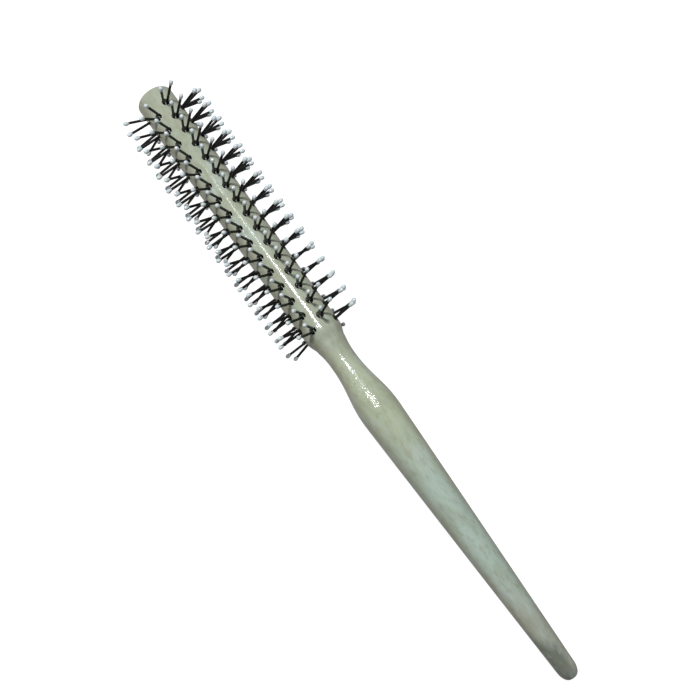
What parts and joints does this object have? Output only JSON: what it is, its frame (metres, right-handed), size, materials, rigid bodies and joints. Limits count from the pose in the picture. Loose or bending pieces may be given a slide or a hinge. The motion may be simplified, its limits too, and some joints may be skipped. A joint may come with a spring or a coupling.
{
  "type": "round barrel hair brush",
  "caption": "Round wooden styling brush whose barrel carries rows of paired nylon pins with ball tips, with a tapered handle.",
  "frame": {"origin": "on the brush's axis, halfway between the barrel's tip and the butt of the handle", "axes": "+X along the brush from the barrel to the handle, +Z and +Y across it, each halfway between two rows of pins"},
  "size_m": [0.2276, 0.029, 0.029],
  "materials": {
    "lacquered_wood": "smooth clear gloss lacquer over pale grey-green stained wood with fine lengthwise grain",
    "black_nylon": "smooth extruded nylon filament, semi-gloss",
    "ball_resin": "smooth glossy dipped resin, pale and slightly translucent",
    "anchor_steel": "plain cut steel strip"
  },
  "bodies": {
    "root": {"turned_wood_body": "lacquered_wood", "pin_row_1_group_1": "black_nylon", "pin_row_1_group_2": "black_nylon", "pin_row_1_group_3": "black_nylon", "pin_row_1_group_4": "black_nylon", "pin_row_2_group_1": "black_nylon", "pin_row_2_group_2": "black_nylon", "pin_row_2_group_3": "black_nylon", "pin_row_2_group_4": "black_nylon", "pin_row_3_group_1": "black_nylon", "pin_row_3_group_2": "black_nylon", "pin_row_3_group_3": "black_nylon", "pin_row_3_group_4": "black_nylon", "pin_row_4_group_1": "black_nylon", "pin_row_4_group_2": "black_nylon", "pin_row_4_group_3": "black_nylon", "pin_row_4_group_4": "black_nylon", "pin_row_5_group_1": "black_nylon", "pin_row_5_group_2": "black_nylon", "pin_row_5_group_3": "black_nylon", "pin_row_5_group_4": "black_nylon", "pin_row_6_group_1": "black_nylon", "pin_row_6_group_2": "black_nylon", "pin_row_6_group_3": "black_nylon", "pin_row_6_group_4": "black_nylon", "pin_row_7_group_1": "black_nylon", "pin_row_7_group_2": "black_nylon", "pin_row_7_group_3": "black_nylon", "pin_row_7_group_4": "black_nylon", "pin_row_8_group_1": "black_nylon", "pin_row_8_group_2": "black_nylon", "pin_row_8_group_3": "black_nylon", "pin_row_8_group_4": "black_nylon"}
  },
  "joints": []
}
